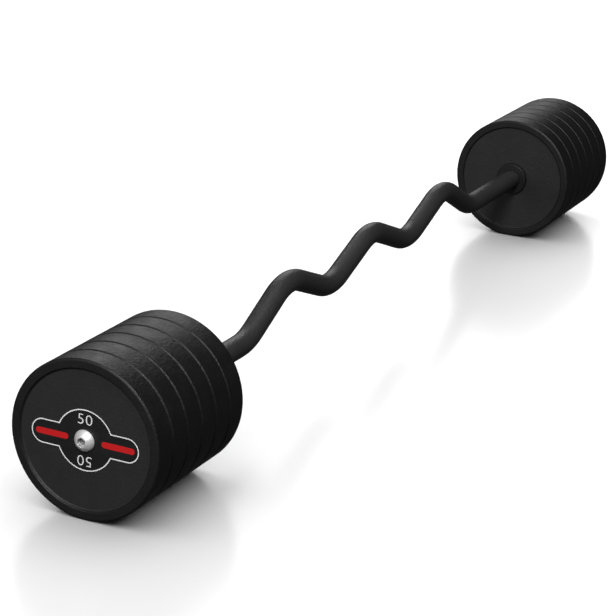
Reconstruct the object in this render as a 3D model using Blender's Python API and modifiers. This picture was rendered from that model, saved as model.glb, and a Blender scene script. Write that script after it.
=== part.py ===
"""A fixed-weight curl barbell: a bent 25 mm bar that carries six rubber-covered plates in a head at each end.

Metres, +Z up. The bar runs along X, and the origin is on the floor under the middle of the bar.
"""

import math

import bmesh
import bpy

# Heads
HEAD_SPACING = 0.957  # between the two heads' inner rims
PLATES_PER_HEAD = 6
PLATE_RADIUS = 0.0825
PLATE_WIDTH = 0.028
RIM_EDGE = 0.003  # the rim's rounded edge, made as one chamfer
RIM_WIDTH = 0.0091  # of the raised rim on the face of an end plate
RIM_SLOPE = 0.0024  # the width of its slope down to the flat face
FACE_DEPTH = 0.0028
COVER_WALL = 0.002  # rubber over the plate's faces
COVER_RIM_WALL = 0.0025  # rubber round the plate's edge

# Bar
BAR_RADIUS = 0.0125
BEND_RADIUS = 0.072  # of the bar's centre line
GRIP_START = 0.3173  # where the centre line leaves the heads' axis
OUTER_PEAK = (0.2228, 0.0474)  # distance from the middle, height over the heads' axis
VALLEY = (0.1109, 0.0040)
CENTRE_PEAK_HEIGHT = 0.0461

# Collars, clamp washers and end bolts
COLLAR_RADIUS = 0.0214
COLLAR_STANDS_OUT = 0.005  # proud of the plate's flat face
COLLAR_EDGE = 0.001
WASHER_RADIUS = 0.025
WASHER_THICKNESS = 0.005
BOLT_RADIUS = 0.006
BOLT_HEAD_RADIUS = 0.011
BOLT_HEAD_HEIGHT = 0.0066
BOLT_HEAD_LAND = 0.0008  # the short straight side under the dome
BOLT_HEAD_TOP_RADIUS = 0.0055
BOLT_LENGTH = 0.040  # under the head
BOLT_POINT = 0.001
TAPPED_PAST_BOLT = 0.013  # the bar's tapped hole goes on this far past the end of the bolt
DRILL_POINT_ANGLE = math.radians(118)
SOCKET_ACROSS_FLATS = 0.008
SOCKET_DEPTH = 0.004

# Label plates
LABEL_RADIUS = 0.0315
LABEL_MARGIN = 0.0114  # from the end of a lobe to the edge of the flat face
LABEL_LOBE_HALF_HEIGHT = 0.0127
LABEL_THICKNESS = 0.0006

# Clearances
GAP = 0.0003  # between neighbouring pieces
BOLT_HOLE_CLEARANCE = 0.0005  # round the bolt in the washer and the label plate
BAR_END_RELIEF = 0.0015  # the washer clamps the plates, so the bar stops short of it
CUT_PAST = 0.002  # how far a cutter runs out past the face that it opens

# Facets
PLATE_SIDES = 32  # a multiple of four, so that a flat facet lies on the floor
SMALL_SIDES = 24
BEND_STEP = math.radians(8)
BAR_BEVEL_RESOLUTION = 6
LABEL_ARC_STEPS = 10
DOME_STEPS = 3
MERGE_DISTANCE = 0.00001

AXIS_HEIGHT = PLATE_RADIUS
PITCH = PLATE_WIDTH + GAP
HEAD_INNER = HEAD_SPACING / 2
HEAD_OUTER = HEAD_INNER + PLATES_PER_HEAD * PITCH - GAP
CORE_RADIUS = PLATE_RADIUS - COVER_RIM_WALL - GAP
CORE_BORE = BAR_RADIUS + GAP
RIM_INNER_RADIUS = PLATE_RADIUS - RIM_WIDTH
FACE_RADIUS = RIM_INNER_RADIUS - RIM_SLOPE
OUTER_FACE = HEAD_OUTER - FACE_DEPTH
INNER_FACE = HEAD_INNER + FACE_DEPTH
WASHER_SEAT = OUTER_FACE - WASHER_THICKNESS
BAR_END = WASHER_SEAT - GAP - BAR_END_RELIEF
LABEL_BACK = OUTER_FACE + GAP
LABEL_LOBE_TIP = FACE_RADIUS - LABEL_MARGIN
BOLT_SEAT = LABEL_BACK + LABEL_THICKNESS + GAP
BOLT_END = BOLT_SEAT - BOLT_LENGTH
BOLT_HOLE = BOLT_RADIUS + BOLT_HOLE_CLEARANCE

RUBBER = {"colour": (0.019, 0.019, 0.019), "roughness": 0.55, "metallic": 0.0}
BAR_COATING = {"colour": (0.030, 0.030, 0.032), "roughness": 0.45, "metallic": 0.3}
CORE_STEEL = {"colour": (0.180, 0.178, 0.175), "roughness": 0.55, "metallic": 0.9}
BRIGHT_STEEL = {"colour": (0.640, 0.640, 0.650), "roughness": 0.25, "metallic": 1.0}
LABEL_BLACK = {"colour": (0.015, 0.015, 0.016), "roughness": 0.35, "metallic": 0.0}


def clear_scene():
    for obj in list(bpy.data.objects):
        bpy.data.objects.remove(obj, do_unlink=True)


def new_collection(name):
    collection = bpy.data.collections.new(name)
    bpy.context.scene.collection.children.link(collection)
    return collection


def paint(obj, finish):
    """Gives the piece a material of its own."""
    material = bpy.data.materials.new(obj.name)
    material.use_nodes = True
    shader = material.node_tree.nodes["Principled BSDF"]
    shader.inputs["Base Color"].default_value = (*finish["colour"], 1.0)
    shader.inputs["Roughness"].default_value = finish["roughness"]
    shader.inputs["Metallic"].default_value = finish["metallic"]
    obj.data.materials.append(material)


def add_object(name, data, collection, parent=None):
    obj = bpy.data.objects.new(name, data)
    collection.objects.link(obj)
    obj.parent = parent
    return obj


def make_cutter(obj):
    obj.hide_render = True
    obj.display_type = "WIRE"


def subtract(obj, cutter):
    cut = obj.modifiers.new("Cut " + cutter.name, "BOOLEAN")
    cut.operation = "DIFFERENCE"
    cut.solver = "EXACT"
    cut.object = cutter


def turned(name, profile, sides, collection, head, closed):
    """A piece turned about its head's axis. The profile is (radius, distance from the middle of the bar), clockwise.

    Its facets touch the true circle from outside, and one of them lies flat at the bottom.
    """
    to_corner = 1 / math.cos(math.pi / sides)
    points = [(radius * to_corner, 0.0, along) for radius, along in profile]
    edges = [(i, i + 1) for i in range(len(points) - 1)]
    if closed:
        edges.append((len(points) - 1, 0))
    mesh = bpy.data.meshes.new(name)
    mesh.from_pydata(points, edges, [])
    obj = add_object(name, mesh, collection, head)
    obj.rotation_euler.z = math.pi / sides
    screw = obj.modifiers.new("Turn", "SCREW")
    screw.axis = "Z"
    screw.angle = 2 * math.pi
    screw.steps = sides
    screw.render_steps = sides
    screw.use_merge_vertices = True
    screw.merge_threshold = MERGE_DISTANCE
    screw.use_smooth_shade = False
    return obj


def cover_profile(low, high, low_depth, high_depth, low_hole, high_hole):
    """A rubber cover from low to high: a wall on each face, a wall round the edge, and open at its holes."""
    profile = [(high_hole, high - high_depth)]
    if high_depth:
        profile += [(FACE_RADIUS, high - high_depth), (RIM_INNER_RADIUS, high)]
    profile += [
        (PLATE_RADIUS - RIM_EDGE, high),
        (PLATE_RADIUS, high - RIM_EDGE),
        (PLATE_RADIUS, low + RIM_EDGE),
        (PLATE_RADIUS - RIM_EDGE, low),
    ]
    if low_depth:
        profile += [(RIM_INNER_RADIUS, low), (FACE_RADIUS, low + low_depth)]
    cavity_radius = CORE_RADIUS + GAP
    cavity_low = low + low_depth + COVER_WALL
    cavity_high = high - high_depth - COVER_WALL
    profile += [
        (low_hole, low + low_depth),
        (low_hole, cavity_low),
        (cavity_radius, cavity_low),
        (cavity_radius, cavity_high),
        (high_hole, cavity_high),
    ]
    return profile


def core_profile(low, high, seat):
    """A steel core from low to high, with a counterbore down to the seat if it holds the clamp washer."""
    profile = [(CORE_BORE, high)]
    if seat:
        washer_hole = WASHER_RADIUS + GAP
        profile = [(CORE_BORE, seat), (washer_hole, seat), (washer_hole, high)]
    profile += [(CORE_RADIUS, high), (CORE_RADIUS, low), (CORE_BORE, low)]
    return profile


def make_plate(side, number, head, parts):
    """One plate, numbered from the inner end of its head: a steel core in a rubber cover."""
    low = HEAD_INNER + (number - 1) * PITCH
    high = low + PLATE_WIDTH
    innermost = number == 1
    outermost = number == PLATES_PER_HEAD
    low_depth = FACE_DEPTH if innermost else 0.0
    high_depth = FACE_DEPTH if outermost else 0.0
    low_hole = COLLAR_RADIUS + GAP if innermost else CORE_BORE
    high_hole = WASHER_RADIUS + GAP if outermost else CORE_BORE
    cover = cover_profile(low, high, low_depth, high_depth, low_hole, high_hole)
    core_low = low + low_depth + COVER_WALL + GAP
    core_high = high - high_depth - COVER_WALL - GAP
    core = core_profile(core_low, core_high, WASHER_SEAT - GAP if outermost else None)
    name = f"{side}_plate_{number}"
    paint(turned(name + "_cover", cover, PLATE_SIDES, parts, head, True), RUBBER)
    paint(turned(name + "_core", core, PLATE_SIDES, parts, head, True), CORE_STEEL)


def make_collar(side, head, parts):
    """The stop ring on the bar that the innermost core bears on."""
    bearing = INNER_FACE + COVER_WALL
    free_end = INNER_FACE - COLLAR_STANDS_OUT
    profile = [
        (BAR_RADIUS + GAP, bearing),
        (COLLAR_RADIUS, bearing),
        (COLLAR_RADIUS, free_end + COLLAR_EDGE),
        (COLLAR_RADIUS - COLLAR_EDGE, free_end),
        (BAR_RADIUS + GAP, free_end),
    ]
    paint(turned(side + "_inner_collar", profile, PLATE_SIDES, parts, head, True), BAR_COATING)


def make_washer(side, head, parts):
    """The clamp washer, sunk in the outermost core under the label plate."""
    profile = [
        (BOLT_HOLE, OUTER_FACE),
        (WASHER_RADIUS, OUTER_FACE),
        (WASHER_RADIUS, WASHER_SEAT),
        (BOLT_HOLE, WASHER_SEAT),
    ]
    paint(turned(side + "_clamp_washer", profile, PLATE_SIDES, parts, head, True), BRIGHT_STEEL)


def make_bolt(side, head, parts, cutters):
    """The button-head bolt that closes the stack, with a hexagon socket."""
    dome_low = BOLT_SEAT + BOLT_HEAD_LAND
    top = BOLT_SEAT + BOLT_HEAD_HEIGHT
    dome_width = BOLT_HEAD_RADIUS - BOLT_HEAD_TOP_RADIUS
    profile = [(0.0, top)]
    for step in range(DOME_STEPS + 1):
        angle = math.pi / 2 * (1 - step / DOME_STEPS)
        radius = BOLT_HEAD_TOP_RADIUS + dome_width * math.cos(angle)
        profile.append((radius, dome_low + (top - dome_low) * math.sin(angle)))
    profile += [
        (BOLT_HEAD_RADIUS, BOLT_SEAT),
        (BOLT_RADIUS, BOLT_SEAT),
        (BOLT_RADIUS, BOLT_END + BOLT_POINT),
        (BOLT_RADIUS - BOLT_POINT, BOLT_END),
        (0.0, BOLT_END),
    ]
    bolt = turned(side + "_end_bolt", profile, SMALL_SIDES, parts, head, False)
    paint(bolt, BRIGHT_STEEL)

    bpy.ops.mesh.primitive_cylinder_add(
        vertices=6,
        radius=SOCKET_ACROSS_FLATS / math.sqrt(3),
        depth=2 * SOCKET_DEPTH,
        location=(0, 0, top),
    )
    socket = bpy.context.object
    socket.name = side + "_socket_cutter"
    for collection in list(socket.users_collection):
        collection.objects.unlink(socket)
    cutters.objects.link(socket)
    socket.parent = head
    make_cutter(socket)
    subtract(bolt, socket)


def make_label(side, head, parts):
    """The label plate: a round plate with a lobe on each side, and a hole for the bolt."""
    lobe_centre = LABEL_LOBE_TIP - LABEL_LOBE_HALF_HEIGHT
    neck = math.asin(LABEL_LOBE_HALF_HEIGHT / LABEL_RADIUS)
    arcs = [
        (lobe_centre, LABEL_LOBE_HALF_HEIGHT, -math.pi / 2, math.pi / 2),
        (0.0, LABEL_RADIUS, neck, math.pi - neck),
        (-lobe_centre, LABEL_LOBE_HALF_HEIGHT, math.pi / 2, 3 * math.pi / 2),
        (0.0, LABEL_RADIUS, math.pi + neck, 2 * math.pi - neck),
    ]
    outline = []
    for centre, radius, start, end in arcs:
        for step in range(LABEL_ARC_STEPS + 1):
            angle = start + (end - start) * step / LABEL_ARC_STEPS
            outline.append((centre + radius * math.cos(angle), radius * math.sin(angle)))
    hole = []
    for step in range(SMALL_SIDES):
        angle = 2 * math.pi * step / SMALL_SIDES
        hole.append((BOLT_HOLE * math.cos(angle), BOLT_HOLE * math.sin(angle)))

    curve = bpy.data.curves.new(side + "_label_plate", "CURVE")
    curve.dimensions = "2D"
    curve.fill_mode = "BOTH"
    curve.extrude = LABEL_THICKNESS / 2
    for loop in (outline, hole):
        spline = curve.splines.new("POLY")
        spline.points.add(len(loop) - 1)
        for point, (x, y) in zip(spline.points, loop):
            point.co = (x, y, 0, 1)
        spline.use_cyclic_u = True
    label = add_object(side + "_label_plate", curve, parts, head)
    label.location.z = LABEL_BACK + LABEL_THICKNESS / 2
    paint(label, LABEL_BLACK)


def make_drill_cutter(side, head, cutters):
    """The tapped hole in the end of the bar, with its drill point."""
    radius = BOLT_RADIUS + GAP
    bottom = BOLT_END - TAPPED_PAST_BOLT
    point = bottom - radius / math.tan(DRILL_POINT_ANGLE / 2)
    mouth = BAR_END + CUT_PAST
    profile = [(0.0, mouth), (radius, mouth), (radius, bottom), (0.0, point)]
    drill = turned(side + "_drill_cutter", profile, SMALL_SIDES, cutters, head, False)
    make_cutter(drill)
    return drill


def rounded_route(corners, radius):
    """The corners' polyline in the XZ plane, with each inner corner replaced by an arc of the bend radius."""
    route = [corners[0]]
    for before, corner, after in zip(corners, corners[1:], corners[2:]):
        way_in = math.atan2(corner[1] - before[1], corner[0] - before[0])
        turn = math.atan2(after[1] - corner[1], after[0] - corner[0]) - way_in
        tangent = radius * math.tan(abs(turn) / 2)
        side = math.copysign(1, turn)
        start = (corner[0] - tangent * math.cos(way_in), corner[1] - tangent * math.sin(way_in))
        centre = (start[0] - side * radius * math.sin(way_in), start[1] + side * radius * math.cos(way_in))
        steps = math.ceil(abs(turn) / BEND_STEP)
        for step in range(steps + 1):
            angle = way_in + turn * step / steps
            x = centre[0] + side * radius * math.sin(angle)
            z = centre[1] - side * radius * math.cos(angle)
            route.append((x, z))
    route.append(corners[-1])
    return route


def make_bar(parts, drills):
    """The bent bar: one round rod from end to end, with a tapped hole in each end."""
    right_half = [VALLEY, OUTER_PEAK, (GRIP_START, 0.0), (BAR_END, 0.0)]
    left_half = [(-x, z) for x, z in reversed(right_half)]
    corners = left_half + [(0.0, CENTRE_PEAK_HEIGHT)] + right_half
    route = rounded_route(corners, BEND_RADIUS)

    curve = bpy.data.curves.new("curl_bar_curve", "CURVE")
    curve.dimensions = "3D"
    curve.bevel_depth = BAR_RADIUS
    curve.bevel_resolution = BAR_BEVEL_RESOLUTION
    curve.use_fill_caps = True
    spline = curve.splines.new("POLY")
    spline.points.add(len(route) - 1)
    for point, (x, z) in zip(spline.points, route):
        point.co = (x, 0, AXIS_HEIGHT + z, 1)
    guide = add_object("curl_bar_curve", curve, parts)

    bpy.context.view_layer.update()
    graph = bpy.context.evaluated_depsgraph_get()
    mesh = bpy.data.meshes.new_from_object(guide.evaluated_get(graph))
    shape = bmesh.new()
    shape.from_mesh(mesh)
    bmesh.ops.remove_doubles(shape, verts=shape.verts, dist=MERGE_DISTANCE)
    shape.to_mesh(mesh)
    shape.free()
    bar = add_object("curl_bar", mesh, parts)
    bar.matrix_world = guide.matrix_world
    bpy.data.objects.remove(guide, do_unlink=True)
    for drill in drills:
        subtract(bar, drill)
    paint(bar, BAR_COATING)


def main():
    clear_scene()
    parts = new_collection("Barbell")
    cutters = new_collection("Cutters")
    drills = []
    for side, heading in (("left", -math.pi / 2), ("right", math.pi / 2)):
        # The empty's Z axis runs along the bar, away from its middle, and its Y axis is up.
        head = add_object(side + "_head", None, parts)
        head.location.z = AXIS_HEIGHT
        head.rotation_euler = (math.pi / 2, 0, heading)
        for number in range(1, PLATES_PER_HEAD + 1):
            make_plate(side, number, head, parts)
        make_collar(side, head, parts)
        make_washer(side, head, parts)
        make_label(side, head, parts)
        make_bolt(side, head, parts, cutters)
        drills.append(make_drill_cutter(side, head, cutters))
    make_bar(parts, drills)


main()
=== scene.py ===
"""A fixed-weight curl barbell on a pale studio floor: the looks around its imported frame. Metres, +Z up."""

import math

import bmesh
import bpy
from mathutils import Matrix, Vector


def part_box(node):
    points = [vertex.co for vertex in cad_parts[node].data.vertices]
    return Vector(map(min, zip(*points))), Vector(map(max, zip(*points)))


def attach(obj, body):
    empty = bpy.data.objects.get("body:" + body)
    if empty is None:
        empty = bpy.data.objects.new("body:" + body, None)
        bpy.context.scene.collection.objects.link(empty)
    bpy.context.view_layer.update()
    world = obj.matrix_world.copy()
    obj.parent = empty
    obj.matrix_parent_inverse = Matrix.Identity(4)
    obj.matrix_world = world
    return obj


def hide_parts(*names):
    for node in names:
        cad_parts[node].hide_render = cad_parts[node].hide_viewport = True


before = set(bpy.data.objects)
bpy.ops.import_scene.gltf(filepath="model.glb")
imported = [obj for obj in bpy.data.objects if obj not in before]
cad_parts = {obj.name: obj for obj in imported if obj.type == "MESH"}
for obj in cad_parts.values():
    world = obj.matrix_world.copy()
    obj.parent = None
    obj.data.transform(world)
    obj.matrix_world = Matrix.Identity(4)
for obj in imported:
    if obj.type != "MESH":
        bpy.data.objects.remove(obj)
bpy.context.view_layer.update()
bpy.ops.object.select_all(action="DESELECT")


# The viewpoint: the camera looks down on the barbell from beyond its left end and a little in front of it.
# In the photograph the bar's bends and the labels lean a little about the heads' axis. Here they are
# upright, so the camera is turned about that axis by the same amount, the other way.
cover_low, cover_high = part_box("left_plate_6_cover")
axis_height = (cover_low.z + cover_high.z) / 2
camera_place = Vector((-2.270, -1.0355, 0.8253))
camera_heading = math.radians(26.194)
camera_drop = math.radians(-17.691)
bar_lean = math.radians(-2.9)


def pointing(heading, rise):
    """A unit vector at one angle round from +X and another up from the floor."""
    return Vector((
        math.cos(heading) * math.cos(rise),
        math.sin(heading) * math.cos(rise),
        math.sin(rise),
    ))


camera = bpy.data.objects.new("camera", bpy.data.cameras.new("camera"))
bpy.context.scene.collection.objects.link(camera)
camera.data.sensor_width = 36.0
camera.data.lens = 125.9
camera.data.clip_end = 60.0
level = pointing(camera_heading, camera_drop).to_track_quat("-Z", "Y").to_matrix().to_4x4()
to_axis = Matrix.Translation((0, 0, axis_height))
lean = to_axis @ Matrix.Rotation(bar_lean, 4, "X") @ to_axis.inverted()
camera.matrix_world = lean @ Matrix.Translation(camera_place) @ level
bpy.context.scene.camera = camera
bpy.context.scene.view_settings.view_transform = "Standard"


# The floor: a seamless sheet of pale satin laminate, which carries the soft shadows and a faint blurred
# reflection of the barbell. It is part of the studio and not of the barbell.
floor_width = 19.0


class Wire:
    """An output socket in a node tree. Arithmetic on wires adds Math nodes."""

    def __init__(self, tree, socket=None):
        self.tree = tree
        self.socket = socket

    def add(self, kind, settings, inputs, output=0):
        """Adds any node: its type, its settings, then the values or wires of its sockets."""
        node = self.tree.nodes.new("ShaderNode" + kind)
        for name, value in settings.items():
            setattr(node, name, value)
        for name, value in inputs.items():
            if isinstance(value, Wire):
                self.tree.links.new(value.socket, node.inputs[name])
            else:
                node.inputs[name].default_value = value
        return Wire(self.tree, node.outputs[output])

    def maths(self, operation, *values):
        return self.add("Math", {"operation": operation}, dict(enumerate(values)))

    def __add__(self, other):
        return self.maths("ADD", self, other)

    def __sub__(self, other):
        return self.maths("SUBTRACT", self, other)

    def __rsub__(self, other):
        return self.maths("SUBTRACT", other, self)

    def __mul__(self, other):
        return self.maths("MULTIPLY", self, other)

    __radd__ = __add__
    __rmul__ = __mul__


def new_finish(name, **fixed):
    """A material with one shader. Returns it, a bare wire to build from, and the shader's node."""
    material = bpy.data.materials.new(name)
    material.use_nodes = True
    shader = material.node_tree.nodes["Principled BSDF"]
    for socket, value in fixed.items():
        shader.inputs[socket.replace("_", " ")].default_value = value
    return material, Wire(material.node_tree), shader


def plug(shader, socket, wire):
    wire.tree.links.new(wire.socket, shader.inputs[socket])


def speckle(wire, size, detail=2.0, stretch=(1, 1, 1)):
    """Noise from 0 to 1 with features of that size in metres, fixed to the piece."""
    place = wire.add("TexCoord", {}, {}, "Object")
    if stretch != (1, 1, 1):
        place = wire.add("Mapping", {}, {"Vector": place, "Scale": stretch})
    return wire.add("TexNoise", {}, {"Vector": place, "Scale": 1 / size, "Detail": detail}, "Fac")


def blend(wire, amount, low, high):
    """A colour between two, plain or wired. The Mix node's sockets share names, so they go by number."""
    start, finish = (end if isinstance(end, Wire) else (*end, 1.0) for end in (low, high))
    return wire.add("Mix", {"data_type": "RGBA"}, {0: amount, 6: start, 7: finish}, 2)


def laminate():
    """Pale satin laminate with a faint cloud in it."""
    material, wire, shader = new_finish("pale_laminate", Roughness=0.22, Specular_IOR_Level=0.4)
    cloud = speckle(wire, size=0.6, detail=3.0)
    plug(shader, "Base Color", blend(wire, cloud, (0.86, 0.86, 0.86), (0.90, 0.90, 0.90)))
    return material


bpy.ops.mesh.primitive_plane_add(size=floor_width, location=(0, 0, 0))
floor = bpy.context.object
floor.name = "studio_floor"
floor.data.materials.append(laminate())
floor.visible_glossy = False
floor.visible_diffuse = False


# The studio light: soft boxes for the barbell and others for the floor, each lighting only its own. A wall,
# a backdrop and three smaller boxes draw the barbell's faces, bright bands, seams and rims. A ceiling of
# light leaves the floor dark only where the heads stand, and four walls show in its gloss.
sky_light = 0.04
sky_seen = 1.0

barbell_pieces = bpy.data.collections.new("barbell_pieces")
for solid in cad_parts.values():
    barbell_pieces.objects.link(solid)
floor_sheet = bpy.data.collections.new("floor_sheet")
floor_sheet.objects.link(floor)


def softbox(name, lit, azimuth, elevation, distance, width, height, radiance):
    """A flat light that faces the barbell, from azimuth degrees round from +X and elevation degrees up."""
    away = pointing(math.radians(azimuth), math.radians(elevation))
    lamp = bpy.data.lights.new(name, "AREA")
    lamp.shape = "RECTANGLE"
    lamp.size = width
    lamp.size_y = height
    lamp.energy = radiance * math.pi * width * height
    box = bpy.data.objects.new(name, lamp)
    bpy.context.scene.collection.objects.link(box)
    box.location = away * distance
    box.rotation_euler = (-away).to_track_quat("-Z", "Y").to_euler()
    box.visible_camera = False
    box.light_linking.receiver_collection = lit
    return box


softbox("front_wall", barbell_pieces, 162, 12, distance=8.0, width=4.6, height=2.6, radiance=2.1)
softbox("key_box", barbell_pieces, -163, 40, distance=4.0, width=1.0, height=1.0, radiance=36.0)
softbox("shoulder_box", barbell_pieces, -126, 52, distance=4.0, width=1.0, height=1.0, radiance=11.0)
softbox("backdrop", barbell_pieces, 29, 28, distance=6.0, width=2.9, height=2.4, radiance=2.6)
softbox("overhead_box", barbell_pieces, 0, 85, distance=4.0, width=2.6, height=2.6, radiance=1.2)
softbox("floor_overhead", floor_sheet, 15, 66, distance=10.0, width=9.0, height=8.5, radiance=0.5)
softbox("floor_ceiling", floor_sheet, 0, 90, distance=24.0, width=58.0, height=58.0, radiance=1.58)
for side in (27, 117, 207, 297):
    wall = softbox(
        f"floor_wall_{side}", floor_sheet, side, 18, distance=14.0, width=27.0, height=9.0, radiance=2.3,
    )
    wall.visible_diffuse = False

world = bpy.data.worlds.new("studio")
bpy.context.scene.world = world
world.use_nodes = True
world.node_tree.nodes.clear()
sky = Wire(world.node_tree)
seen = sky.add("LightPath", {}, {}, "Is Camera Ray")
strength = sky.add("Mix", {"data_type": "FLOAT"}, {0: seen, 2: sky_light, 3: sky_seen}, 0)
background = sky.add("Background", {}, {"Color": (1, 1, 1, 1), "Strength": strength})
world_output = world.node_tree.nodes.new("ShaderNodeOutputWorld")
world.node_tree.links.new(background.socket, world_output.inputs["Surface"])


# The bar: one solid steel rod 25 mm thick, bent cold to its seven bends and powder coated satin black. Each
# end runs on through the head and is drilled and tapped for the end bolt.
bar_radius = 0.0125
bend_radius = 0.072
grip_start = 0.3173
outer_peak = (0.2228, 0.0474)
valley = (0.1109, 0.0040)
centre_peak_height = 0.0461
bar_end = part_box("curl_bar")[1].x
bar_sides = 72
bend_segment = math.radians(1.6)
tapped_radius = 0.0063
tapped_depth = 0.045
drill_point_angle = math.radians(118)
end_margin = 0.001
bar_weld = 0.000001
smooth_under = math.radians(30)


def edit(piece):
    """Opens this piece alone in edit mode, with nothing selected."""
    if bpy.context.mode != "OBJECT":
        bpy.ops.object.mode_set(mode="OBJECT")
    bpy.ops.object.select_all(action="DESELECT")
    piece.select_set(True)
    bpy.context.view_layer.objects.active = piece
    bpy.ops.object.mode_set(mode="EDIT")
    bpy.ops.mesh.select_all(action="DESELECT")


def pick(piece, kind, test):
    """Selects the vertices, edges or faces that pass a test, and nothing else."""
    bpy.ops.mesh.select_all(action="DESELECT")
    bpy.ops.mesh.select_mode(type=kind)
    mesh = bmesh.from_edit_mesh(piece.data)
    mesh.normal_update()
    for item in {"VERT": mesh.verts, "EDGE": mesh.edges, "FACE": mesh.faces}[kind]:
        item.select_set(bool(test(item)))
    bmesh.update_edit_mesh(piece.data)


def pull(along, up=0.0):
    """Extrudes what is selected, along the heads' axis and upwards."""
    bpy.ops.mesh.extrude_region_move(TRANSFORM_OT_translate={"value": (along, 0, up)})


def weld(gap):
    """Merges all the vertices of the open piece that lie within that gap of each other."""
    bpy.ops.mesh.select_all(action="SELECT")
    bpy.ops.mesh.remove_doubles(threshold=gap)


def face_outwards():
    """Turns all the faces of the open piece outwards."""
    bpy.ops.mesh.select_all(action="SELECT")
    bpy.ops.mesh.normals_make_consistent(inside=False)


def close(piece):
    """Leaves edit mode, puts the piece's place in its mesh and shades its curved surfaces smooth."""
    bpy.ops.object.mode_set(mode="OBJECT")
    bpy.ops.object.transform_apply(location=True, rotation=True, scale=True)
    bpy.ops.object.shade_smooth_by_angle(angle=smooth_under)
    flat_faces_lead = piece.modifiers.new("flat_faces_lead", "WEIGHTED_NORMAL")
    flat_faces_lead.keep_sharp = True
    bpy.ops.object.modifier_apply(modifier=flat_faces_lead.name)


def middle(item):
    """The middle of an edge or a face."""
    return sum((vert.co for vert in item.verts), Vector()) / len(item.verts)


def off_axis(point):
    """How far a point lies from the heads' axis."""
    return math.hypot(point.y, point.z - axis_height)


def settle(piece, slot, *stands_for):
    """Fixes a piece to the barbell and hides the solids it stands for. Its slot argument is not used."""
    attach(piece, "root")
    barbell_pieces.objects.link(piece)
    if stands_for:
        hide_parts(*stands_for)


def emboss(shader, height, strength, distance):
    """Raises the finish by a wire from 0 to 1, over that distance in metres."""
    skin = height.add("Bump", {}, {"Height": height, "Strength": strength, "Distance": distance})
    plug(shader, "Normal", skin)


def powder_coat():
    """Satin black powder coat: an even orange peel and a soft bloom."""
    material, wire, shader = new_finish("powder_coat", Specular_IOR_Level=0.30)
    peel = speckle(wire, size=0.0028, detail=3.0)
    fine = speckle(wire, size=0.0005, detail=1.0)
    bloom = speckle(wire, size=0.03, detail=3.0)
    plug(shader, "Base Color", blend(wire, bloom, (0.026, 0.026, 0.0265), (0.036, 0.036, 0.0365)))
    plug(shader, "Roughness", 0.27 + bloom * 0.10 + fine * 0.06)
    emboss(shader, peel * 0.85 + fine * 0.15, strength=1.0, distance=0.0008)
    return material


right_corners = [valley, outer_peak, (grip_start, 0.0), (bar_end, 0.0)]
corners = [Vector((-x, z)) for x, z in reversed(right_corners)]
corners += [Vector((0.0, centre_peak_height))]
corners += [Vector(corner) for corner in right_corners]

bpy.ops.mesh.primitive_circle_add(
    vertices=bar_sides, radius=bar_radius, fill_type="NGON",
    location=(-bar_end, 0, axis_height), rotation=(0, math.pi / 2, 0),
)
bar = bpy.context.object
bar.name = "bar"
bpy.ops.object.transform_apply(location=True, rotation=True, scale=True)
edit(bar)
bpy.ops.mesh.select_all(action="SELECT")
here = corners[0]
for before, corner, after in zip(corners, corners[1:], corners[2:]):
    way_in = (corner - before).normalized()
    way_out = (after - corner).normalized()
    turn = math.atan2(way_in.x * way_out.y - way_in.y * way_out.x, way_in.dot(way_out))
    bend_start = corner - way_in * bend_radius * math.tan(abs(turn) / 2)
    run = bend_start - here
    pull(run.x, run.y)
    centre = bend_start + Vector((-way_in.y, way_in.x)) * math.copysign(bend_radius, turn)
    bpy.ops.mesh.spin(
        steps=math.ceil(abs(turn) / bend_segment), angle=turn, dupli=False,
        center=(centre.x, 0, axis_height + centre.y), axis=(0, 1, 0),
    )
    here = corner + way_out * bend_radius * math.tan(abs(turn) / 2)
run = corners[-1] - here
pull(run.x, run.y)
for end in (-1, 1):
    pick(bar, "FACE", lambda face: (
        len(face.verts) == bar_sides and middle(face).x * end > bar_end - end_margin
    ))
    bpy.ops.mesh.inset(thickness=bar_radius - tapped_radius)
    pull(-end * tapped_depth)
    pull(-end * tapped_radius / math.tan(drill_point_angle / 2))
    bpy.ops.mesh.merge(type="CENTER")
weld(bar_weld)
face_outwards()
close(bar)
bar.data.materials.append(powder_coat())
settle(bar, "bar_coating", "curl_bar")


# The stop collars: low turned rings of blackened steel, pressed on the bar at the inner face of each head.
# The plates are clamped against them.
collar_radius = 0.0214
collar_bore = 0.0126
collar_sides = 96
collar_edge_fillet = 0.0012
collar_bore_fillet = 0.0006
collar_ring_pitch = 0.0004
same_place = 0.00002
square_on = 0.9


def drum(name, radius, low, high, sides):
    """A cylinder along the heads' axis from low to high, opened in edit mode."""
    if bpy.context.mode != "OBJECT":
        bpy.ops.object.mode_set(mode="OBJECT")
    bpy.ops.mesh.primitive_cylinder_add(
        vertices=sides, radius=radius, depth=high - low, end_fill_type="NGON",
        location=((low + high) / 2, 0, axis_height), rotation=(0, math.pi / 2, 0),
    )
    piece = bpy.context.object
    piece.name = name
    piece.data.name = name
    bpy.ops.object.transform_apply(location=True, rotation=True, scale=True)
    edit(piece)
    return piece


def pick_cap(piece, end, sides):
    """Selects the flat cap at one end of a drum."""
    pick(piece, "FACE", lambda face: len(face.verts) == sides and face.normal.x * end > square_on)


def grow(times):
    """Widens what is selected about the heads' axis, or narrows it."""
    bpy.ops.transform.resize(value=(1, times, times), center_override=(0, 0, axis_height))


def bridge_edges(piece):
    """Closes the wall between the two open loops of a piece."""
    pick(piece, "EDGE", lambda edge: edge.is_boundary)
    bpy.ops.mesh.bridge_edge_loops()
    face_outwards()


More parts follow.
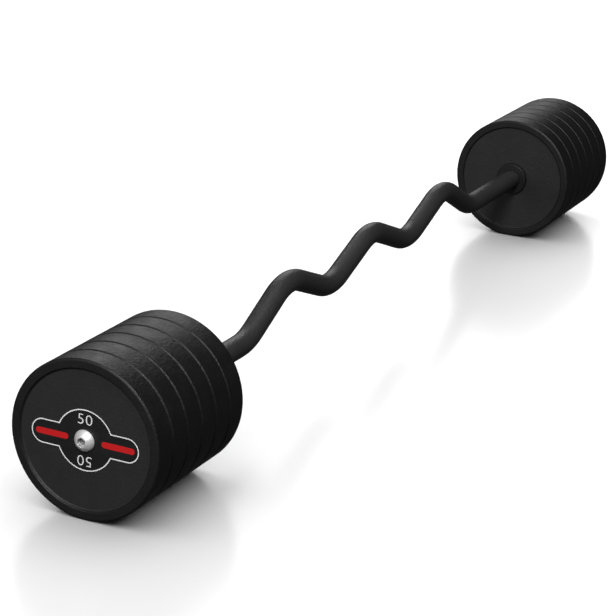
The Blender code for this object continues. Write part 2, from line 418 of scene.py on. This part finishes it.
def round_ring(piece, radius, place, fillet, segments):
    """Rounds the circular edge of that radius at that place along the axis. A hollow edge is filled."""
    pick(piece, "EDGE", lambda edge: all(
        abs(off_axis(vert.co) - radius) < same_place and abs(vert.co.x - place) < same_place
        for vert in edge.verts
    ))
    bpy.ops.mesh.bevel(offset=fillet, segments=segments, affect="EDGES", profile=0.5, clamp_overlap=True)


def twin(piece, name, turn=0.0, mirror=False, move=0.0):
    """A copy with its own mesh: moved along the bar, turned round to the other end, or mirrored there."""
    copy = piece.copy()
    copy.data = piece.data.copy()
    copy.name = name
    copy.data.name = name
    bpy.context.scene.collection.objects.link(copy)
    copy.location.x = move
    copy.rotation_euler.z = turn
    copy.scale.x = -1.0 if mirror else 1.0
    bpy.ops.object.select_all(action="DESELECT")
    copy.select_set(True)
    bpy.context.view_layer.objects.active = copy
    bpy.ops.object.transform_apply(location=True, rotation=True, scale=True)
    edit(copy)
    face_outwards()
    close(copy)
    return copy


def axis_distance(wire):
    """How far each point of a surface lies from the heads' axis."""
    place = wire.add("TexCoord", {}, {}, "Object")
    on_axis = (0, 0, -axis_height)
    centred = wire.add("Mapping", {}, {"Vector": place, "Location": on_axis, "Scale": (0, 1, 1)})
    return wire.add("VectorMath", {"operation": "LENGTH"}, {0: centred}, "Value")


def turned_rings(radius, pitch):
    """The fine grooves of a lathe tool, from 0 to 1, by the distance from the axis."""
    return radius.maths("SINE", radius * (2 * math.pi / pitch)) * 0.5 + 0.5


def black_oxide():
    """Blackened steel: a dark oiled film with fine turned rings and duller patches."""
    material, wire, shader = new_finish("black_oxide", Specular_IOR_Level=0.35)
    rings = turned_rings(axis_distance(wire), collar_ring_pitch)
    patches = speckle(wire, size=0.004, detail=3.0)
    plug(shader, "Base Color", blend(wire, patches, (0.006, 0.006, 0.0062), (0.012, 0.012, 0.0122)))
    plug(shader, "Roughness", 0.42 + patches * 0.14)
    emboss(shader, rings * 0.5 + patches * 0.5, strength=0.3, distance=0.00005)
    return material


low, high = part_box("left_inner_collar")
collar = drum("left_collar", collar_radius, low.x, high.x, collar_sides)
for end in (-1, 1):
    pick_cap(collar, end, collar_sides)
    bpy.ops.mesh.inset(thickness=collar_radius - collar_bore)
    bpy.ops.mesh.delete(type="ONLY_FACE")
bridge_edges(collar)
round_ring(collar, collar_radius, high.x, collar_edge_fillet, segments=5)
round_ring(collar, collar_bore, high.x, collar_bore_fillet, segments=3)
close(collar)
collar.data.materials.append(black_oxide())
right_collar = twin(collar, "right_collar", mirror=True)
settle(collar, "bar_coating", "left_inner_collar")
settle(right_collar, "bar_coating", "right_inner_collar")


# The plates' covers: black rubber moulded round each steel disc. Only the two faces of a head that show
# have a raised rim with a sloping inner side. The edges between plates are lightly rounded, so that the
# seams show.
plate_radius = 0.0825
plate_sides = 192
rim_width = 0.0096
slope_width = 0.0014
face_depth = 0.0028
bar_hole = 0.0128
collar_hole = 0.0217
washer_hole = 0.0253
rubber_wall = 0.0020
cavity_radius = 0.0802
rim_fillet = 0.0026
seam_fillet = 0.0023
face_fillet = 0.0006
# How far the painted shade at the rim's foot fades in.
painted_shade_fade = 0.0010
leather_starts = plate_radius - 0.0014
leather_full = plate_radius - 0.0001


def moulded_rubber():
    """Black rubber: finely grained on the faces, leathery on the outside. Its colour is painted light and
    shade: greyer faces as painted light, and a blacker rim, sides and seam valleys as painted shade.
    """
    material, wire, shader = new_finish("moulded_rubber", Specular_IOR_Level=0.4)
    radius = axis_distance(wire)
    rim_foot = plate_radius - rim_width - slope_width
    # Painted shade: outwards from the rim's foot the rubber turns blacker, standing in for the shaded rim,
    # sides and seam valleys; the faces stay greyer as painted light.
    painted_shade_mask = wire.add("MapRange", {}, {
        "Value": radius, "From Min": rim_foot, "From Max": rim_foot + painted_shade_fade,
    })
    outside = wire.add("MapRange", {"interpolation_type": "SMOOTHSTEP"}, {
        "Value": radius, "From Min": leather_starts, "From Max": leather_full,
    })
    grain = speckle(wire, size=0.0007, detail=2.0)
    leather = speckle(wire, size=0.0034, detail=3.0)
    bloom = speckle(wire, size=0.018, detail=4.0)
    drift = speckle(wire, size=0.09, detail=2.0)
    patches = bloom * 0.6 + drift * 0.4
    lit_face_colour = blend(wire, patches, (0.0145, 0.0145, 0.0149), (0.0220, 0.0220, 0.0224))
    rim_painted_shade = blend(wire, patches, (0.0040, 0.0040, 0.0042), (0.0090, 0.0090, 0.0093))
    plug(shader, "Base Color", blend(wire, painted_shade_mask, lit_face_colour, rim_painted_shade))
    plug(shader, "Roughness", 0.38 + bloom * 0.12 + grain * 0.06 + outside * (bloom * 0.22 - 0.16))
    emboss(shader, grain * 0.3 + leather * (outside * 0.55 + 0.25), strength=1.0, distance=0.0009)
    return material


rubber = moulded_rubber()


def rubber_cover(number, rimmed_end, hole_low, hole_high):
    """A cover on the left head, hollow for its steel disc. The rimmed end is -1, 1 or 0 for none."""
    low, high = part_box(f"left_plate_{number}_cover")
    cover = drum(f"left_plate_{number}_rubber", plate_radius, low.x, high.x, plate_sides)
    for end, hole in ((-1, hole_low), (1, hole_high)):
        pick_cap(cover, end, plate_sides)
        face_radius = plate_radius
        if end == rimmed_end:
            bpy.ops.mesh.inset(thickness=rim_width)
            bpy.ops.mesh.inset(thickness=slope_width, depth=-face_depth)
            face_radius -= rim_width + slope_width
        bpy.ops.mesh.inset(thickness=face_radius - hole)
        pull(-end * rubber_wall)
        pull(0)
        grow(cavity_radius / hole)
        bpy.ops.mesh.delete(type="ONLY_FACE")
    bridge_edges(cover)
    for end, place in ((-1, low.x), (1, high.x)):
        if end == rimmed_end:
            crest = plate_radius - rim_width
            round_ring(cover, plate_radius, place, rim_fillet, segments=8)
            round_ring(cover, crest, place, face_fillet, segments=4)
            round_ring(cover, crest - slope_width, place - end * face_depth, face_fillet, segments=4)
        else:
            round_ring(cover, plate_radius, place, seam_fillet, segments=5)
    close(cover)
    cover.data.materials.append(rubber)
    return cover


covers = {
    1: rubber_cover(1, rimmed_end=1, hole_low=bar_hole, hole_high=collar_hole),
    2: rubber_cover(2, rimmed_end=0, hole_low=bar_hole, hole_high=bar_hole),
    6: rubber_cover(6, rimmed_end=-1, hole_low=washer_hole, hole_high=bar_hole),
}
for number in (3, 4, 5):
    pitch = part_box(f"left_plate_{number}_cover")[0].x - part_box("left_plate_2_cover")[0].x
    covers[number] = twin(covers[2], f"left_plate_{number}_rubber", move=pitch)
for number, cover in covers.items():
    right_cover = twin(cover, f"right_plate_{number}_rubber", mirror=True)
    settle(cover, "rubber_cover", f"left_plate_{number}_cover")
    settle(right_cover, "rubber_cover", f"right_plate_{number}_cover")


# The label plates: a thin plate of satin black plastic on the outer face of each head, a disc with two
# lobes, held by the end bolt. It is printed with a silver border, the weight twice and a plain red bar on
# each lobe.
label_radius = 0.0315
label_sides = 128
lobe_tip = 0.0596
lobe_half_height = 0.0127
lobe_sides = 64
label_low, label_high = (corner.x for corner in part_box("left_label_plate"))
label_weld = 0.000005
label_edge_bevel = 0.00012
bolt_hole = 0.0065
bolt_hole_sides = 64
hole_overshoot = 0.001
sharp_edge = 1.0
ink_thickness = 0.00005
border_edge = 0.00025
border_width = 0.0011
weight_height = 0.0103
weight_width = 0.0160
weight_centre = 0.0214
font_size = 0.014
stroke_change = -0.00018
digit_spacing = 1.06
digit_weld = 0.000002
red_from = 0.0185
red_to = 0.0550
red_half_height = 0.0032
red_sides = 32


def lobed(name, half_height, tip_low, tip_high, low, high, sides):
    """A flat bar with round ends, lying across the heads' axis between two places along Y."""
    piece = drum(name, half_height, low, high, sides)
    for side, shift in ((1, tip_high - half_height), (-1, tip_low + half_height)):
        pick(piece, "VERT", lambda vert: same_place < vert.co.y * side < half_height * 1.01)
        bpy.ops.transform.translate(value=(0, shift, 0))
    pick(piece, "VERT", lambda vert: abs(vert.co.y) <= same_place)
    bpy.ops.transform.translate(value=(0, (tip_low + tip_high) / 2, 0))
    return piece


def combine(piece, tool, operation):
    """Joins a piece with another shape or cuts it out, takes that shape away and goes on in edit mode."""
    bpy.ops.object.mode_set(mode="OBJECT")
    bpy.context.view_layer.objects.active = piece
    joint = piece.modifiers.new(operation, "BOOLEAN")
    joint.operation = operation
    joint.object = tool
    joint.solver = "EXACT"
    bpy.ops.object.modifier_apply(modifier=joint.name)
    bpy.data.objects.remove(tool)
    edit(piece)


def repeat_upside_down():
    """Adds all of the open print again, turned half way round the bolt."""
    bpy.ops.mesh.select_all(action="SELECT")
    bpy.ops.mesh.duplicate()
    bpy.ops.transform.rotate(value=math.pi, orient_axis="X", center_override=(label_low, 0, axis_height))


def label_plastic():
    """Satin black plastic: an even fine texture with faint wiping marks."""
    material, wire, shader = new_finish("label_plastic")
    texture = speckle(wire, size=0.0004, detail=2.0)
    wiping = speckle(wire, size=0.006, detail=3.0, stretch=(1, 0.25, 1))
    plug(shader, "Base Color", blend(wire, wiping, (0.008, 0.008, 0.0085), (0.013, 0.013, 0.0135)))
    plug(shader, "Roughness", 0.30 + wiping * 0.12 + texture * 0.05)
    emboss(shader, texture, strength=0.25, distance=0.0001)
    return material


def ink(name, low, high, roughness):
    """Screen print: an ink film that is slightly worn and uneven."""
    material, wire, shader = new_finish(name)
    film = speckle(wire, size=0.0011, detail=3.0)
    plug(shader, "Base Color", blend(wire, film, low, high))
    plug(shader, "Roughness", roughness + film * 0.12)
    emboss(shader, film, strength=0.2, distance=0.00005)
    return material


def thicken_ink(piece):
    """Gives a flat printed shape on the label's face the thickness of its ink, outwards."""
    bpy.ops.object.mode_set(mode="OBJECT")
    film = piece.modifiers.new("film", "SOLIDIFY")
    film.thickness = ink_thickness
    film.offset = 1.0
    bpy.ops.object.modifier_apply(modifier=film.name)
    edit(piece)
    face_outwards()
    close(piece)


label = drum("left_label", label_radius, label_low, label_high, label_sides)
lobes = lobed("lobes", lobe_half_height, -lobe_tip, lobe_tip, label_low, label_high, lobe_sides)
combine(label, lobes, "UNION")
weld(label_weld)
bpy.ops.mesh.dissolve_limited(angle_limit=math.radians(0.5))
pick(label, "FACE", lambda face: face.normal.x < -square_on)
bpy.ops.mesh.duplicate()
bpy.ops.mesh.separate(type="SELECTED")
border = next(piece for piece in bpy.context.selected_objects if piece != label)
border.name = "left_label_border"
border.data.name = border.name
hole = drum("hole", bolt_hole, label_low - hole_overshoot, label_high + hole_overshoot, bolt_hole_sides)
combine(label, hole, "DIFFERENCE")
pick(label, "EDGE", lambda edge: edge.calc_face_angle(0.0) > sharp_edge and all(
    vert.co.x < label_low + same_place and off_axis(vert.co) > bolt_hole * 1.5 for vert in edge.verts
))
bpy.ops.mesh.bevel(offset=label_edge_bevel, segments=2, affect="EDGES")
close(label)
label.data.materials.append(label_plastic())

edit(border)
bpy.ops.mesh.select_all(action="SELECT")
bpy.ops.mesh.inset(thickness=border_edge)
bpy.ops.mesh.select_all(action="INVERT")
bpy.ops.mesh.delete(type="FACE")
bpy.ops.mesh.select_all(action="SELECT")
bpy.ops.mesh.inset(thickness=border_width)
bpy.ops.mesh.delete(type="FACE")
thicken_ink(border)
border.data.materials.append(ink("silver_ink", (0.84, 0.84, 0.85), (0.92, 0.92, 0.93), roughness=0.40))

bpy.ops.object.text_add()
weight = bpy.context.object
weight.name = "left_label_weight"
weight.data.body = "50"
weight.data.size = font_size
weight.data.resolution_u = 16
weight.data.offset = stroke_change
weight.data.space_character = digit_spacing
bpy.ops.object.convert(target="MESH")
weight = bpy.context.object
weight.data.name = weight.name
right, top = (max(vert.co[i] for vert in weight.data.vertices) for i in (0, 1))
left, bottom = (min(vert.co[i] for vert in weight.data.vertices) for i in (0, 1))
to_size = Matrix.Diagonal((weight_width / (right - left), weight_height / (top - bottom), 1, 1))
centred = to_size @ Matrix.Translation((-(left + right) / 2, -(bottom + top) / 2, 0))
facing_left = Matrix(((0, 0, -1, 0), (-1, 0, 0, 0), (0, 1, 0, 0), (0, 0, 0, 1)))
on_label = Matrix.Translation((label_low, 0, axis_height + weight_centre))
weight.matrix_world = on_label @ facing_left @ centred
bpy.ops.object.transform_apply(location=True, rotation=True, scale=True)
edit(weight)
weld(digit_weld)
repeat_upside_down()
thicken_ink(weight)
weight.data.materials.append(ink("pale_ink", (0.80, 0.80, 0.80), (0.89, 0.89, 0.89), roughness=0.40))

red = lobed(
    "left_label_bars", red_half_height, red_from, red_to, label_low - ink_thickness, label_low, red_sides,
)
repeat_upside_down()
face_outwards()
close(red)
red.data.materials.append(ink("red_ink", (0.50, 0.004, 0.006), (0.64, 0.009, 0.011), roughness=0.45))

right_label = twin(label, "right_label", turn=math.pi)
settle(label, "label_plate", "left_label_plate")
settle(right_label, "label_plate", "right_label_plate")
for print_piece in (border, weight, red):
    right_print = twin(print_piece, print_piece.name.replace("left", "right"), turn=math.pi)
    settle(print_piece, "label_plate")
    settle(right_print, "label_plate")


# The end bolts: a domed button head with a hexagon socket on a plain shank, turned steel with a bright zinc
# finish. Each holds its label plate and clamps the plates against the collar.
bolt_low, bolt_high = (corner.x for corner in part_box("left_end_bolt"))
head_radius = 0.0110
head_height = 0.0066
head_land = 0.0008
head_top_radius = 0.0055
dome_steps = 12
top_fillet = 0.0004
seat_fillet = 0.0003
shank_radius = 0.0060
shank_point = 0.0010
across_flats = 0.0080
socket_radius = across_flats / 2 / math.cos(math.pi / 6)
socket_depth = 0.0040
socket_fillet = 0.0003
socket_overshoot = 0.002
bolt_sides = 96
bolt_ring_pitch = 0.00022
# Where the painted shade inside the hexagon socket begins and where it is full.
socket_shade_starts = 0.0047
socket_shade_full = 0.0036


def zinc_steel():
    """Bright zinc plating: fine turned rings round the bolt and a little haze. The hexagon socket is painted
    dark grey as painted shade.
    """
    material, wire, shader = new_finish("zinc_steel", Metallic=0.55)
    radius = axis_distance(wire)
    rings = turned_rings(radius, bolt_ring_pitch)
    haze = speckle(wire, size=0.003, detail=3.0)
    spots = speckle(wire, size=0.0007, detail=2.0)
    # Painted shade: the socket is painted dark grey, standing in for the shade inside it.
    socket = wire.add("MapRange", {}, {"Value": radius, "From Min": socket_shade_starts, "From Max": socket_shade_full})
    plating = blend(wire, haze, (0.76, 0.76, 0.77), (0.90, 0.90, 0.91))
    socket_painted_shade = blend(wire, spots, (0.16, 0.16, 0.16), (0.30, 0.30, 0.30))
    plug(shader, "Base Color", blend(wire, socket, plating, socket_painted_shade))
    plug(shader, "Roughness", 0.40 + haze * 0.14 + spots * 0.05)
    emboss(shader, rings * 0.6 + spots * 0.4, strength=0.25, distance=0.00003)
    return material


seat = bolt_low + head_height
bolt = drum("left_bolt", head_radius, seat - head_land, seat, bolt_sides)
pick_cap(bolt, -1, bolt_sides)
dome_drop = (
    (head_radius ** 2 - head_top_radius ** 2 + head_land ** 2 - head_height ** 2)
    / (2 * (head_height - head_land))
)
dome_radius = math.hypot(head_radius, head_land + dome_drop)
radius = head_radius
height = head_land
for step in range(1, dome_steps + 1):
    next_radius = head_radius + (head_top_radius - head_radius) * step / dome_steps
    next_height = math.sqrt(dome_radius ** 2 - next_radius ** 2) - dome_drop
    pull(height - next_height)
    grow(next_radius / radius)
    radius = next_radius
    height = next_height
pick_cap(bolt, 1, bolt_sides)
bpy.ops.mesh.inset(thickness=head_radius - shank_radius)
pull(bolt_high - shank_point - seat)
pull(shank_point)
grow(1 - shank_point / shank_radius)
hexagon = drum("hexagon", socket_radius, bolt_low - socket_overshoot, bolt_low + socket_depth, sides=6)
bpy.ops.mesh.select_all(action="SELECT")
bpy.ops.transform.rotate(value=math.pi / 2, orient_axis="X", center_override=(0, 0, axis_height))
combine(bolt, hexagon, "DIFFERENCE")
between_rings = (socket_radius + head_top_radius) / 2
pick(bolt, "EDGE", lambda edge: edge.calc_face_angle(0.0) > sharp_edge and all(
    abs(vert.co.x - bolt_low) < same_place and off_axis(vert.co) < between_rings for vert in edge.verts
))
bpy.ops.mesh.bevel(offset=socket_fillet, segments=3, affect="EDGES")
round_ring(bolt, head_top_radius, bolt_low, top_fillet, segments=3)
round_ring(bolt, head_radius, seat, seat_fillet, segments=3)
face_outwards()
close(bolt)
bolt.data.materials.append(zinc_steel())
right_bolt = twin(bolt, "right_bolt", turn=math.pi)
settle(bolt, "bolt_steel", "left_end_bolt")
settle(right_bolt, "bolt_steel", "right_end_bolt")


# The steel discs inside the covers and the clamp washers under the bolts don't show. They keep the frame's
# own solids: sawn and faced mild steel, and a zinc-plated washer.
facing_ring_pitch = 0.0006


def faced_steel(name, low, high, roughness):
    """Turned steel: rings from the facing cut, darker stains and fine grit."""
    material, wire, shader = new_finish(name, Metallic=1.0)
    rings = turned_rings(axis_distance(wire), facing_ring_pitch)
    stains = speckle(wire, size=0.014, detail=4.0)
    grit = speckle(wire, size=0.001, detail=2.0)
    plug(shader, "Base Color", blend(wire, stains * 0.8 + rings * 0.2, low, high))
    plug(shader, "Roughness", roughness + stains * 0.2 + rings * 0.05)
    emboss(shader, rings * 0.7 + grit * 0.3, strength=0.4, distance=0.00008)
    return material


sawn_steel = faced_steel("sawn_steel", (0.14, 0.135, 0.13), (0.24, 0.235, 0.23), roughness=0.42)
washer_zinc = faced_steel("washer_zinc", (0.52, 0.52, 0.53), (0.66, 0.66, 0.67), roughness=0.28)
for node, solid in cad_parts.items():
    if node.endswith("_core") or node.endswith("_clamp_washer"):
        for finish_slot in solid.material_slots:
            finish_slot.material = sawn_steel if node.endswith("_core") else washer_zinc
